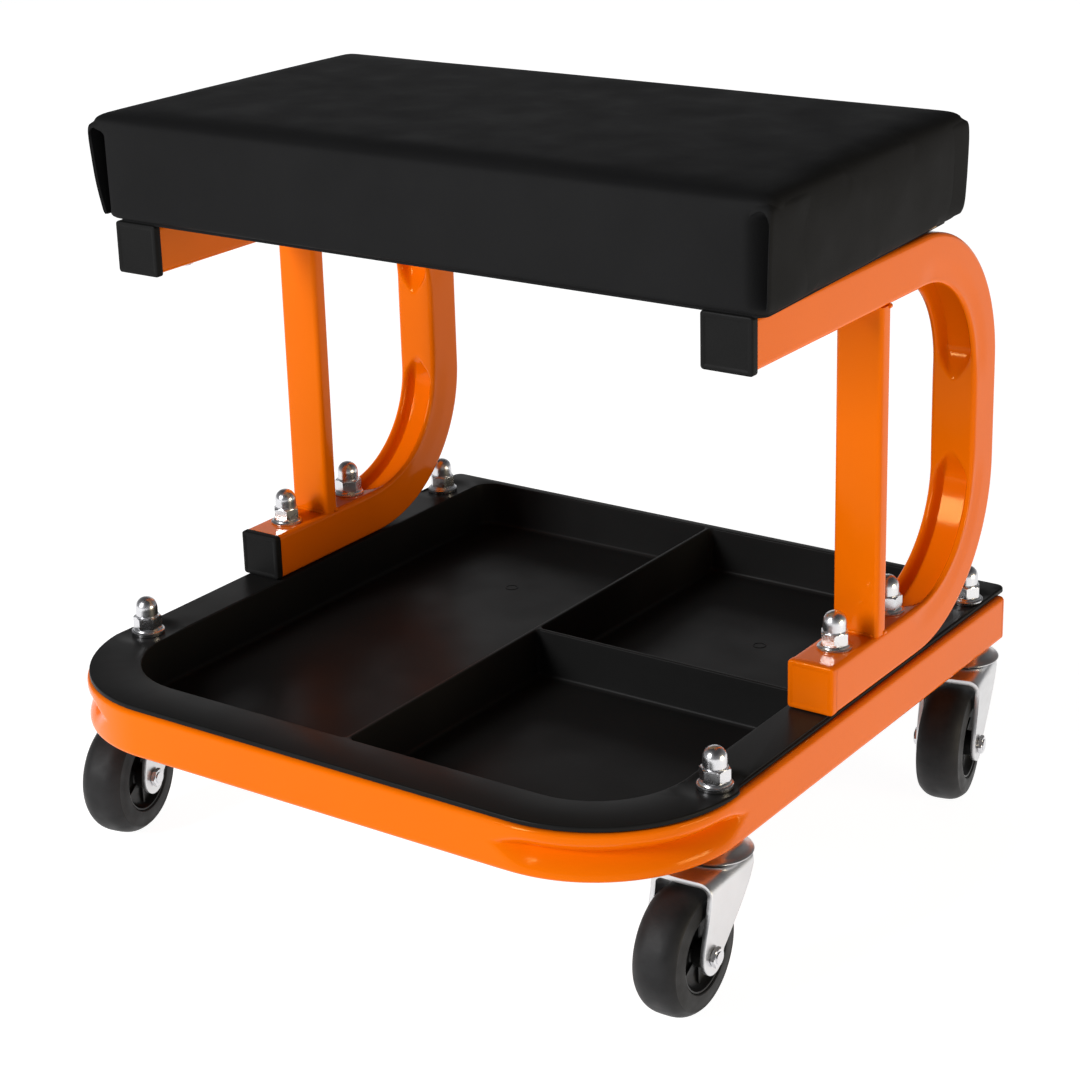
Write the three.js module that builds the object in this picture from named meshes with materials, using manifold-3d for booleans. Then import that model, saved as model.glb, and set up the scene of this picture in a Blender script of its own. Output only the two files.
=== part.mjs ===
import * as THREE from "three";
import { mergeVertices } from "three/addons/utils/BufferGeometryUtils.js";
import Module from "manifold-3d";

// Rolling mechanic's seat: a cushion on two C-shaped side frames, bolted through a parts tray to a
// U-shaped base that runs on four swivel casters.
// Millimetres. X runs across, Y from the front to the back, +Z up.
// The origin is on the floor, under the middle of the outline.

// Driving sizes: square steel tube
const TUBE = 25;
const TUBE_WALL = 1.5;
const TUBE_CORNER = 2.5;
const GAP = 0.3; // clearance kept between pieces that touch

// Driving sizes: overall outline
const OUTLINE_DEPTH = 367.5; // front of the base to the rear lip of the tray
const FRONT = -OUTLINE_DEPTH / 2;
const BASE_BOTTOM = 73; // height of the caster mounting faces
const BASE_TOP = BASE_BOTTOM + TUBE;

// Driving sizes: U-shaped base
const BASE_WIDTH = 376;
const BASE_DEPTH = 358.5;
const BASE_BEND = 62.5; // centreline radius
const BASE_PRESS = 6.5; // depth of the groove pressed into the outside of each bend
const RAIL_X = BASE_WIDTH / 2 - TUBE / 2;
const RAIL_CAP = 2;

// Driving sizes: tray
const RIM_THICKNESS = 2.6;
const TRAY_WALL = 2.2;
const TRAY_DEPTH = 25.6; // rim top to bin floor
const BIN_HALF_WIDTH = 160.2;
const BIN_FRONT = FRONT + 28;
const BIN_BACK = FRONT + 362;
const BIN_CORNER = 47;
const BIN_BACK_CORNER = 12;
const DIVIDER = 2.4;
const CROSS_DIVIDER_Y = FRONT + 187;

// Driving sizes: C-shaped side frames and their posts
const SIDE_X = 174;
const SIDE_BOTTOM = BASE_TOP + RIM_THICKNESS + GAP;
const SIDE_HEIGHT = 217.5;
const SIDE_BACK = FRONT + 342;
const SIDE_BEND = 69.5;
const SIDE_PRESS = 7;
const FOOT_FRONT = FRONT + 172;
const ARM_FRONT = FRONT + 94.5;
const POST_FRONT = FRONT + 213;
const POST_DEPTH = 10;
const SIDE_TOP = SIDE_BOTTOM + SIDE_HEIGHT;

// Driving sizes: seat
const SEAT_WIDTH = 400; // across the top; the ends lean in towards the board
const SEAT_LEAN = 4;
const SEAT_FRONT = FRONT + 86;
const SEAT_BACK = FRONT + 296;
const SEAT_THICKNESS = 56;
const SEAT_BOARD = 12;
const BOARD_INSET = 16;
const SEAT_BOTTOM = SIDE_TOP + GAP;
const SEAT_BOLT_YS = [FRONT + 125, FRONT + 256];

// Driving sizes: fasteners, M8 through the base and M6 into the seat and through the wheels
const BOLT_R = 4;
const NUT_FLATS = 13;
const WASHER_R = 8.7;
const NUT_HEIGHT = 19; // washer, hexagon and dome together
const FOOT_BOLT_YS = [FRONT + 192.5, FRONT + 248];
const SCREW_R = 3;
const SCREW_FLATS = 10;

// Driving sizes: casters
const STEM_X = 175;
const STEM_YS = { front: FRONT + 77.7, rear: FRONT + 338.6 };
const TRAIL = 30;
const WHEEL_R = 31.25;
const WHEEL_WIDTH = 24;
const HUB_R = 18.5;
const FORK_INSIDE = 27; // between the legs
const FORK_PLATE = 2.4;
const RACE_R = 18;
const SWIVEL_DEGREES = { front_left: 12, front_right: 2, rear_left: 6, rear_right: 12 };

// Facets
const BEND_STEPS = 8;
const CORNER_STEPS = 2;
const PRESS_STEPS = 6;
const ROUND = 28;
const RACE_ROUND = 20;
const SMALL_ROUND = 12;

const wasm = await Module();
wasm.setup();

// ---------------------------------------------------------------- solids and booleans

function toSolid(geometry) {
  const plain = geometry.index ? geometry.toNonIndexed() : geometry.clone();
  plain.deleteAttribute("normal");
  plain.deleteAttribute("uv");
  const merged = mergeVertices(plain, 1e-4);
  return new wasm.Manifold(
    new wasm.Mesh({
      numProp: 3,
      vertProperties: merged.attributes.position.array,
      triVerts: new Uint32Array(merged.index.array),
    }),
  );
}

function toGeometry(solid) {
  const { vertProperties, triVerts } = solid.getMesh();
  const geometry = new THREE.BufferGeometry();
  geometry.setAttribute("position", new THREE.BufferAttribute(vertProperties, 3));
  geometry.setIndex(new THREE.BufferAttribute(triVerts, 1));
  return geometry;
}

function joined(...geometries) {
  return toGeometry(geometries.map(toSolid).reduce((all, next) => all.add(next)));
}

function cut(geometry, tools) {
  return toGeometry(tools.map(toSolid).reduce((left, tool) => left.subtract(tool), toSolid(geometry)));
}

// A cylinder standing on z = bottom.
function cylinder(radius, height, x = 0, y = 0, bottom = 0, sides = SMALL_ROUND) {
  return new THREE.CylinderGeometry(radius, radius, height, sides)
    .rotateX(Math.PI / 2)
    .translate(x, y, bottom + height / 2);
}

// A profile of [radius, height] points turned about the Z axis; it starts and ends on the axis.
function turned(profile, sides = SMALL_ROUND) {
  return new THREE.LatheGeometry(
    profile.map(([r, z]) => new THREE.Vector2(r, z)),
    sides,
  ).rotateX(Math.PI / 2);
}

// A hexagonal prism standing on z = bottom.
function hexagon(acrossFlats, height, bottom = 0) {
  return cylinder(acrossFlats / Math.sqrt(3), height, 0, 0, bottom, 6);
}

// ---------------------------------------------------------------- outlines

// Points of an arc from one angle to another, in degrees, ends included.
function arcPoints(x, y, radius, from, to, steps) {
  return Array.from({ length: steps + 1 }, (_, i) => {
    const angle = THREE.MathUtils.degToRad(from + ((to - from) * i) / steps);
    return new THREE.Vector2(x + radius * Math.cos(angle), y + radius * Math.sin(angle));
  });
}

// A rectangle with rounded corners; the radii run from the +x +y corner, anticlockwise.
function roundedRectangle(x0, y0, x1, y1, radii, steps = CORNER_STEPS) {
  const [a, b, c, d] = radii;
  return [
    ...arcPoints(x1 - a, y1 - a, a, 0, 90, steps),
    ...arcPoints(x0 + b, y1 - b, b, 90, 180, steps),
    ...arcPoints(x0 + c, y0 + c, c, 180, 270, steps),
    ...arcPoints(x1 - d, y0 + d, d, 270, 360, steps),
  ];
}

function slab(points, bottom, top, holes = []) {
  const shape = new THREE.Shape(points);
  shape.holes = holes.map((hole) => new THREE.Path(hole));
  const prism = new THREE.ExtrudeGeometry(shape, { depth: top - bottom, bevelEnabled: false });
  return prism.translate(0, 0, bottom);
}

// ---------------------------------------------------------------- bent tubes

// A centreline in one plane, made of straights and quarter bends. It has points only at the ends
// of each straight and at even steps round each bend.
class BentLine extends THREE.Curve {
  constructor(start, heading, pieces, place) {
    super();
    this.stations = [];
    this.bends = [];
    this.place = place;
    let [a, b] = start;
    let angle = heading;
    const note = () => this.stations.push({ a, b, angle });
    note();
    for (const piece of pieces) {
      if (piece.straight) {
        a += piece.straight * Math.cos(angle);
        b += piece.straight * Math.sin(angle);
        note();
        continue;
      }
      const turn = Math.sign(piece.quarter);
      const centre = [a - turn * piece.radius * Math.sin(angle), b + turn * piece.radius * Math.cos(angle)];
      this.bends.push({ centre, radius: piece.radius, from: angle - (turn * Math.PI) / 2, turn });
      for (let i = 0; i < BEND_STEPS; i++) {
        angle += (turn * Math.PI) / 2 / BEND_STEPS;
        a = centre[0] + turn * piece.radius * Math.sin(angle);
        b = centre[1] - turn * piece.radius * Math.cos(angle);
        note();
      }
    }
  }

  station(u) {
    return this.stations[Math.round(u * (this.stations.length - 1))];
  }

  getPoint(u) {
    const { a, b } = this.station(u);
    return this.place(a, b, 0);
  }

  getPointAt(u) {
    return this.getPoint(u);
  }

  getTangentAt(u) {
    const { angle } = this.station(u);
    return this.place(Math.cos(angle), Math.sin(angle), 0).sub(this.place(0, 0, 0)).normalize();
  }
}

// The walls of a tube's section, by the direction that each one faces.
const WALLS = ["+y", "-x", "-y", "+x"];

// The tube's section. The wall that may be pressed is split into strips and bows out by a hair,
// so that no two strips lie in one line.
function tubeOutline(size, corner, cornerSteps, pressedWall) {
  const half = size / 2;
  const bow = 0.08;
  const rounded = roundedRectangle(-half, -half, half, half, Array(4).fill(corner), cornerSteps);
  const perCorner = cornerSteps + 1;
  const wall = WALLS.indexOf(pressedWall);
  const last = (wall + 1) * perCorner - 1;
  const from = rounded[last];
  const to = rounded[(last + 1) % rounded.length];
  const outward = new THREE.Vector2(to.y - from.y, from.x - to.x).normalize();
  const strips = Array.from({ length: PRESS_STEPS - 1 }, (_, i) => {
    const across = (i + 1) / PRESS_STEPS;
    return from.clone().lerp(to, across).addScaledVector(outward, bow * across * (1 - across));
  });
  return rounded.toSpliced(last + 1, 0, ...strips);
}

// How far a pressed groove reaches, from 0 to 1, at a place across the wall and along the bend.
function pressAmount(across, along) {
  const width = Math.max(0, 1 - (across / 0.86) ** 2);
  const rise = THREE.MathUtils.smoothstep(along, -0.08, 0.2);
  const fall = 1 - THREE.MathUtils.smoothstep(along, 0.8, 1.08);
  return width * (2 - width) * rise * fall;
}

// A hollow square tube along a bent line, with a groove pressed into one wall of each bend:
// side = 1 presses the wall on the outside of the bends, side = -1 the wall on the inside.
function bentTube(line, depth, side, pressedWall) {
  const shape = new THREE.Shape(tubeOutline(TUBE, TUBE_CORNER, CORNER_STEPS, pressedWall));
  const bore = tubeOutline(TUBE - 2 * TUBE_WALL, TUBE_CORNER - TUBE_WALL, 1, pressedWall);
  shape.holes = [new THREE.Path(bore)];
  const steps = line.stations.length - 1;
  const geometry = new THREE.ExtrudeGeometry(shape, { steps, extrudePath: line, bevelEnabled: false });
  const origin = line.place(0, 0, 0);
  const axes = [
    [1, 0, 0],
    [0, 1, 0],
    [0, 0, 1],
  ].map((axis) => line.place(...axis).sub(origin));
  const position = geometry.attributes.position;
  const vertex = new THREE.Vector3();
  for (let i = 0; i < position.count; i++) {
    vertex.fromBufferAttribute(position, i);
    const [a, b, w] = axes.map((axis) => vertex.clone().sub(origin).dot(axis));
    for (const { centre, radius, from, turn } of line.bends) {
      const out = new THREE.Vector2(a - centre[0], b - centre[1]);
      const height = (out.length() - radius) * side;
      const start = new THREE.Vector2(Math.cos(from), Math.sin(from));
      const along = (turn * Math.atan2(start.cross(out), start.dot(out))) / (Math.PI / 2);
      if (height < TUBE / 2 - 2 * TUBE_WALL || along < -0.2 || along > 1.2) continue;
      const move = -side * depth * pressAmount(w / (TUBE / 2), along);
      out.normalize().multiplyScalar(move);
      vertex.addScaledVector(axes[0], out.x).addScaledVector(axes[1], out.y);
    }
    position.setXYZ(i, ...vertex);
  }
  return geometry;
}

// ---------------------------------------------------------------- the assembly

const creeper = new THREE.Group();

const finishes = {
  paint: { color: 0xe8650a, roughness: 0.28, metalness: 0.1 },
  zinc: { color: 0xc9ccd0, roughness: 0.25, metalness: 0.9 },
  forkZinc: { color: 0xdfe1e3, roughness: 0.35, metalness: 0.7 },
  blackPlastic: { color: 0x1c1c1e, roughness: 0.45, metalness: 0 },
  tray: { color: 0x19191b, roughness: 0.4, metalness: 0 },
  tyre: { color: 0x2b2b2d, roughness: 0.7, metalness: 0 },
  vinyl: { color: 0x1a1a1c, roughness: 0.5, metalness: 0 },
  board: { color: 0xa9865a, roughness: 0.8, metalness: 0 },
};

function add(parent, name, geometry, finish) {
  const mesh = new THREE.Mesh(geometry, new THREE.MeshStandardMaterial(finishes[finish]));
  mesh.name = name;
  parent.add(mesh);
  return mesh;
}

const sides = { left: -1, right: 1 };
const ends = ["front", "rear"];

// ---------------------------------------------------------------- base

// The base tube: back along the left rail, across the front and forward along the right rail.
function baseTube() {
  const half = RAIL_X;
  const railEnd = FRONT + BASE_DEPTH - RAIL_CAP - GAP;
  const front = FRONT + TUBE / 2;
  const rail = railEnd - front - BASE_BEND;
  const across = 2 * (half - BASE_BEND);
  const runOut = 9;
  const centreHeight = BASE_BOTTOM + TUBE / 2;
  const line = new BentLine(
    [-half, railEnd],
    -Math.PI / 2,
    [
      { straight: rail - runOut },
      { straight: runOut },
      { quarter: 1, radius: BASE_BEND },
      { straight: runOut },
      { straight: across - 2 * runOut },
      { straight: runOut },
      { quarter: 1, radius: BASE_BEND },
      { straight: runOut },
      { straight: rail - runOut },
    ],
    (x, y, w) => new THREE.Vector3(x, y, centreHeight + w),
  );
  const boltHoles = Object.values(sides).flatMap((side) => [
    ...ends.map((end) => cylinder(BOLT_R + GAP, 3 * TUBE, side * STEM_X, STEM_YS[end], BASE_BOTTOM - TUBE)),
    ...FOOT_BOLT_YS.map((y) => cylinder(BOLT_R + GAP, 3 * TUBE, side * SIDE_X, y, BASE_BOTTOM - TUBE)),
  ]);
  return cut(bentTube(line, BASE_PRESS, 1, "-y"), boltHoles);
}

// A plug for an open tube end, made facing -Y: a plate on the end and a spigot inside the bore.
function tubePlug(plateSize, plateDepth, corner, spigotDepth) {
  const half = plateSize / 2;
  const spigot = (TUBE - 2 * TUBE_WALL) / 2 - GAP;
  const plate = slab(roundedRectangle(-half, -half, half, half, Array(4).fill(corner)), 0, plateDepth);
  const section = roundedRectangle(-spigot, -spigot, spigot, spigot, Array(4).fill(1.5), 1);
  return joined(plate, slab(section, -spigotDepth, 0.5)).rotateX(Math.PI / 2);
}

add(creeper, "base_frame", baseTube(), "paint");

for (const [side, sign] of Object.entries(sides)) {
  const cap = add(creeper, "rail_end_cap_" + side, tubePlug(TUBE, RAIL_CAP, TUBE_CORNER, 12), "paint");
  cap.rotation.z = Math.PI;
  cap.position.set(sign * RAIL_X, FRONT + BASE_DEPTH - RAIL_CAP, BASE_BOTTOM + TUBE / 2);
}

// ---------------------------------------------------------------- tray

// The rim's outline steps in behind the front corner pads.
function rimOutline() {
  const padX = BASE_WIDTH / 2 - 0.4;
  const sideX = padX - 3;
  const corner = 75;
  const front = FRONT + 1.4;
  const back = FRONT + OUTLINE_DEPTH;
  const padEnd = FRONT + 77.5;
  const stepEnd = FRONT + 84;
  const backCorner = 5;
  const right = [
    ...arcPoints(padX - corner, front + corner, corner, -90, 0, 12),
    new THREE.Vector2(padX, padEnd),
    new THREE.Vector2(sideX, stepEnd),
    ...arcPoints(sideX - backCorner, back - backCorner, backCorner, 0, 90, CORNER_STEPS),
  ];
  const left = right.map((point) => new THREE.Vector2(-point.x, point.y)).reverse();
  return [...right, ...left];
}

// A bin outline, drawn in by the walls' draft at its floor.
function binOutline(x0, x1, y0, y1, radii, draft) {
  const shrunk = radii.map((radius) => Math.max(radius - draft, 1));
  return roundedRectangle(x0 + draft, y0 + draft, x1 - draft, y1 - draft, shrunk, 6);
}

function toolTray() {
  const floorTop = BASE_TOP + RIM_THICKNESS - TRAY_DEPTH;
  const rimTop = BASE_TOP + RIM_THICKNESS;
  const rimBottom = BASE_TOP + GAP;
  const half = BIN_HALF_WIDTH;
  const corners = [BIN_BACK_CORNER, BIN_BACK_CORNER, BIN_CORNER, BIN_CORNER];
  const outside = (grow) => binOutline(-half, half, BIN_FRONT, BIN_BACK, corners, -grow);
  const rim = slab(rimOutline(), rimBottom, rimTop);
  const basin = slab(outside(TRAY_WALL), floorTop - TRAY_WALL, rimTop);
  const middle = DIVIDER / 2;
  const inner = 3;
  const bins = [
    [-half, -middle, BIN_FRONT, BIN_BACK, [inner, BIN_BACK_CORNER, BIN_CORNER, inner]],
    [middle, half, BIN_FRONT, CROSS_DIVIDER_Y - middle, [inner, inner, inner, BIN_CORNER]],
    [middle, half, CROSS_DIVIDER_Y + middle, BIN_BACK, [BIN_BACK_CORNER, inner, inner, inner]],
  ].map(([x0, x1, y0, y1, radii]) => slab(binOutline(x0, x1, y0, y1, radii, 0), floorTop, rimTop + 1));
  const holes = Object.values(sides).flatMap((side) => [
    ...ends.map((end) => cylinder(BOLT_R + GAP, 10, side * STEM_X, STEM_YS[end], BASE_TOP - 4)),
    ...FOOT_BOLT_YS.map((y) => cylinder(BOLT_R + GAP, 10, side * SIDE_X, y, BASE_TOP - 4)),
  ]);
  return cut(joined(rim, basin), [...bins, ...holes]);
}

add(creeper, "tool_tray", toolTray(), "tray");

// ---------------------------------------------------------------- side frames, posts and plugs

// A C-shaped tube: back along the foot, up, and forward along the arm.
function sideTube() {
  const height = SIDE_HEIGHT - TUBE;
  const back = SIDE_BACK - TUBE / 2;
  const runOut = 9;
  const foot = back - SIDE_BEND - (FOOT_FRONT + GAP);
  const arm = back - SIDE_BEND - (ARM_FRONT + GAP);
  const upright = height - 2 * SIDE_BEND;
  const line = new BentLine(
    [FOOT_FRONT + GAP, 0],
    0,
    [
      { straight: foot - runOut },
      { straight: runOut },
      { quarter: 1, radius: SIDE_BEND },
      { straight: runOut },
      { straight: upright - 2 * runOut },
      { straight: runOut },
      { quarter: 1, radius: SIDE_BEND },
      { straight: runOut },
      { straight: arm - runOut },
    ],
    (y, z, w) => new THREE.Vector3(w, y, z + TUBE / 2),
  );
  const holes = [
    ...FOOT_BOLT_YS.map((y) => cylinder(BOLT_R + GAP, TUBE + 8, 0, y, -4)),
    ...SEAT_BOLT_YS.map((y) => cylinder(SCREW_R + GAP, TUBE + 8, 0, y, SIDE_HEIGHT - TUBE - 4)),
  ];
  return cut(bentTube(line, SIDE_PRESS, -1, "-x"), holes);
}

// A rectangular tube, standing between the foot and the arm.
function post() {
  const outer = roundedRectangle(-TUBE / 2, 0, TUBE / 2, POST_DEPTH, [2, 2, 2, 2]);
  const bore = roundedRectangle(
    -TUBE / 2 + TUBE_WALL,
    TUBE_WALL,
    TUBE / 2 - TUBE_WALL,
    POST_DEPTH - TUBE_WALL,
    [0.8, 0.8, 0.8, 0.8],
    1,
  );
  return slab(outer, TUBE + GAP, SIDE_HEIGHT - TUBE - GAP, [bore]);
}

const PLUG_PLATE = 4;
const PLUG_SIZE = TUBE + 2;

for (const [side, sign] of Object.entries(sides)) {
  const frame = new THREE.Group();
  frame.position.set(sign * SIDE_X, 0, SIDE_BOTTOM);
  creeper.add(frame);
  add(frame, "side_frame_" + side, sideTube(), "paint");
  add(frame, "post_" + side, post(), "paint").position.y = POST_FRONT;
  const plugs = {
    foot: { y: FOOT_FRONT, z: TUBE / 2, size: TUBE, finish: side === "right" ? "paint" : "blackPlastic" },
    arm: { y: ARM_FRONT, z: SIDE_HEIGHT - TUBE / 2, size: PLUG_SIZE, finish: "blackPlastic" },
  };
  for (const [place, { y, z, size, finish }] of Object.entries(plugs)) {
    const plug = add(frame, place + "_end_cap_" + side, tubePlug(size, PLUG_PLATE, 1.5, 14), finish);
    plug.position.set(0, y, z);
  }
}

// ---------------------------------------------------------------- seat

function seatBoard() {
  const half = SEAT_WIDTH / 2 - BOARD_INSET;
  const front = SEAT_FRONT + BOARD_INSET;
  const back = SEAT_BACK - BOARD_INSET;
  const outline = roundedRectangle(-half, front, half, back, [8, 8, 8, 8]);
  const pilot = (side, y) =>
    cylinder(SCREW_R + GAP, SEAT_BOARD - 2, side * SIDE_X, y, SEAT_BOTTOM - 1);
  const pilots = Object.values(sides).flatMap((side) => SEAT_BOLT_YS.map((y) => pilot(side, y)));
  return cut(slab(outline, SEAT_BOTTOM, SEAT_BOTTOM + SEAT_BOARD), pilots);
}

// Foam and cover as one pad: straight sides, a softened upper edge and a pocket for the board.
// Its lower edge stops a little above the board's underside, clear of the plugs in the arms.
function seatCushion() {
  const half = SEAT_WIDTH / 2;
  const round = 7;
  const outline = (inset, corner) =>
    roundedRectangle(
      -half + inset,
      SEAT_FRONT + inset,
      half - inset,
      SEAT_BACK - inset,
      Array(4).fill(corner),
    );
  const layer = (inset, bottom, top) => slab(outline(inset, 14 - inset / 2), bottom, top);
  const top = SEAT_BOTTOM + SEAT_THICKNESS;
  const bottom = SEAT_BOTTOM + 1.2;
  const body = layer(0, bottom, top - round);
  const corners = body.attributes.position;
  for (let i = 0; i < corners.count; i++) {
    if (corners.getZ(i) < bottom + 1) corners.setX(i, corners.getX(i) * (1 - SEAT_LEAN / half));
  }
  const shoulder = layer(round * 0.35, top - round - 0.5, top - round * 0.35);
  const crown = layer(round, top - round, top);
  const pocket = slab(outline(BOARD_INSET - GAP, 8), SEAT_BOTTOM - 1, SEAT_BOTTOM + SEAT_BOARD + GAP);
  return cut(joined(body, shoulder, crown), [pocket]);
}

add(creeper, "seat_board", seatBoard(), "board");
add(creeper, "seat_cushion", seatCushion(), "vinyl");

// ---------------------------------------------------------------- fasteners

// A domed nut on its washer, bored from below; its foot is at z = 0.
function domedNut() {
  const washer = 2.2;
  const hexTop = 8.7;
  const dome = 5.9;
  const domeProfile = [
    [0, hexTop - 1],
    [dome, hexTop - 1],
    ...arcPoints(0, NUT_HEIGHT - dome, dome, 0, 90, 3).map(({ x, y }) => [x, y]),
  ];
  const washerProfile = [
    [0, 0],
    [WASHER_R, 0],
    [WASHER_R, 0.9],
    [WASHER_R - 1.6, washer],
    [0, washer],
  ];
  const hex = hexagon(NUT_FLATS, hexTop - washer + 0.5, washer - 0.5);
  const body = joined(turned(washerProfile), hex, turned(domeProfile));
  return cut(body, [cylinder(BOLT_R + GAP, NUT_HEIGHT - 3, 0, 0, -1)]);
}

// A hexagon-headed bolt with its head's upper face at z = 0.
function hexBolt(radius, acrossFlats, head, length) {
  return joined(hexagon(acrossFlats, head, -head), cylinder(radius, length + 0.5, 0, 0, -0.5));
}

// A low round-headed screw with its head's upper face at z = 0.
function panScrew(length) {
  const profile = [
    [0, -3.4],
    [3.4, -3.1],
    [5.8, -1.4],
    [6, 0],
    [0, 0],
  ];
  return joined(turned(profile), cylinder(SCREW_R, length + 0.5, 0, 0, -0.5));
}

const NUT_GRIP = 13;
for (const [side, sign] of Object.entries(sides)) {
  const x = sign * SIDE_X;
  FOOT_BOLT_YS.forEach((y, i) => {
    const name = side + "_" + ends[i];
    const length = 2 * TUBE + RIM_THICKNESS + 3 * GAP + NUT_GRIP;
    const bolt = add(creeper, "foot_bolt_" + name, hexBolt(BOLT_R, NUT_FLATS, 5.3, length), "zinc");
    bolt.position.set(x, y, BASE_BOTTOM - GAP);
    const nut = add(creeper, "foot_nut_" + name, domedNut(), "zinc");
    nut.position.set(x, y, SIDE_BOTTOM + TUBE + GAP);
  });
  SEAT_BOLT_YS.forEach((y, i) => {
    const screw = add(creeper, "seat_screw_" + side + "_" + ends[i], panScrew(TUBE + 8), "zinc");
    screw.position.set(x, y, SIDE_TOP - TUBE - GAP);
  });
}

// ---------------------------------------------------------------- casters

const AXLE_DROP = BASE_BOTTOM - WHEEL_R; // mounting face to axle
const CROWN_TOP = -5.4;
const CROWN_BOTTOM = CROWN_TOP - FORK_PLATE;

// The fixed upper half of the swivel: a shallow dish, hanging below z = 0.
function raceCup() {
  const profile = [
    [BOLT_R + GAP, -GAP],
    [BOLT_R + GAP, -3],
    [12, -3],
    [RACE_R - 1, -4.9],
    [RACE_R, -4.9],
    [RACE_R, -3.7],
    [12.5, -GAP],
    [BOLT_R + GAP, -GAP],
  ];
  return turned(profile, RACE_ROUND);
}

// The threaded stem: its round head holds the fork's crown up from below.
function stem() {
  const head = CROWN_BOTTOM - GAP;
  const profile = [
    [0, head - 3],
    [6, head - 3],
    [7.5, head - 1.5],
    [7.5, head],
    [BOLT_R, head],
    [BOLT_R, TUBE + RIM_THICKNESS + NUT_GRIP],
    [0, TUBE + RIM_THICKNESS + NUT_GRIP],
  ];
  return turned(profile);
}

// A fork leg's outline, in the plane of the wheel: forward is +x of the outline, up is +y.
function legOutline() {
  const foot = 9;
  return [
    new THREE.Vector2(-9, CROWN_BOTTOM),
    new THREE.Vector2(-9, -17),
    new THREE.Vector2(-5.5, -25),
    new THREE.Vector2(3, -33.5),
    new THREE.Vector2(13, -41),
    ...arcPoints(TRAIL, -AXLE_DROP, foot, 225, 360, 6),
    new THREE.Vector2(TRAIL + 1, CROWN_BOTTOM),
  ];
}

// The fork: a crown plate with a raised ring round the stem, and two legs down to the axle.
function fork() {
  const outside = FORK_INSIDE / 2 + FORK_PLATE;
  const crown = slab(
    roundedRectangle(-17, -outside, TRAIL + 3, outside, [4, 12, 12, 4]),
    CROWN_BOTTOM,
    CROWN_TOP,
  );
  const leg = (y) =>
    slab(legOutline(), 0, FORK_PLATE)
      .rotateX(Math.PI / 2)
      .translate(0, y + FORK_PLATE, 0);
  const legs = [FORK_INSIDE / 2, -outside].map(leg);
  const holes = [
    cylinder(BOLT_R + GAP, 20, 0, 0, CROWN_BOTTOM - 10),
    cylinder(SCREW_R + GAP, 2 * outside + 10)
      .rotateX(Math.PI / 2)
      .translate(TRAIL, outside + 5, -AXLE_DROP),
  ];
  return cut(joined(crown, ...legs), holes).rotateZ(-Math.PI / 2);
}

// Turned pieces on the axle run along X; the turned profile's height becomes x.
function onAxle(geometry) {
  return geometry.rotateY(Math.PI / 2);
}

// A flat facet of each wheel is turned down to the floor.
function tyre() {
  const half = WHEEL_WIDTH / 2;
  const facet = Math.PI / ROUND;
  const outer = WHEEL_R / Math.cos(facet);
  const profile = [
    [HUB_R + GAP, -half + 1.5],
    [HUB_R + 2, -half],
    [outer - 4.5, -half],
    [outer - 1.8, -half + 1.6],
    [outer, -half + 5],
    [outer, half - 5],
    [outer - 1.8, half - 1.6],
    [outer - 4.5, half],
    [HUB_R + 2, half],
    [HUB_R + GAP, half - 1.5],
    [HUB_R + GAP, -half + 1.5],
  ];
  return onAxle(turned(profile, ROUND).rotateZ(facet));
}

function hub() {
  const half = WHEEL_WIDTH / 2;
  const boss = FORK_INSIDE / 2 - GAP;
  const profile = [
    [SCREW_R + GAP, -boss],
    [6.5, -boss],
    [6.5, -half + 5],
    [HUB_R - 3, -half + 5],
    [HUB_R, -half + 2],
    [HUB_R, half - 2],
    [HUB_R - 3, half - 5],
    [6.5, half - 5],
    [6.5, boss],
    [SCREW_R + GAP, boss],
    [SCREW_R + GAP, -boss],
  ];
  return onAxle(turned(profile, ROUND / 2));
}

const AXLE_NUT = 3.4;

// The axle bolt: its head is against one leg, and its thread ends in the nut on the other.
function axleBolt() {
  const outside = FORK_INSIDE / 2 + FORK_PLATE + GAP;
  return onAxle(hexBolt(SCREW_R, SCREW_FLATS, 2.9, 2 * outside + AXLE_NUT).translate(0, 0, -outside));
}

function axleNut() {
  const outside = FORK_INSIDE / 2 + FORK_PLATE + GAP;
  const nut = cut(hexagon(SCREW_FLATS, AXLE_NUT - 0.6), [cylinder(SCREW_R + GAP, 10, 0, 0, -2)]);
  return onAxle(nut.translate(0, 0, outside));
}

for (const [side, sign] of Object.entries(sides)) {
  for (const end of ends) {
    const name = end + "_" + side;
    const mounting = new THREE.Group();
    mounting.position.set(sign * STEM_X, STEM_YS[end], BASE_BOTTOM);
    creeper.add(mounting);
    add(mounting, "swivel_race_" + name, raceCup(), "forkZinc");
    add(mounting, "stem_" + name, stem(), "zinc");
    add(mounting, "stem_nut_" + name, domedNut(), "zinc").position.z = TUBE + RIM_THICKNESS + GAP;
    const swivel = new THREE.Group();
    swivel.rotation.z = THREE.MathUtils.degToRad(SWIVEL_DEGREES[name]);
    mounting.add(swivel);
    add(swivel, "fork_" + name, fork(), "forkZinc");
    const axle = new THREE.Group();
    axle.position.set(0, -TRAIL, -AXLE_DROP);
    swivel.add(axle);
    add(axle, "axle_bolt_" + name, axleBolt(), "zinc");
    add(axle, "axle_nut_" + name, axleNut(), "zinc");
    const wheel = new THREE.Group();
    axle.add(wheel);
    add(wheel, "tyre_" + name, tyre(), "tyre");
    add(wheel, "hub_" + name, hub(), "blackPlastic");
  }
}

export default creeper;
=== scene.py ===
"""Rolling mechanic's seat: the looks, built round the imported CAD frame.

Lengths are in millimetres until MM scales them to metres.
"""

import math

import bmesh
import bpy
import numpy as np
from mathutils import Matrix, Vector, noise
from mathutils.bvhtree import BVHTree
from mathutils.geometry import delaunay_2d_cdt


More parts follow.
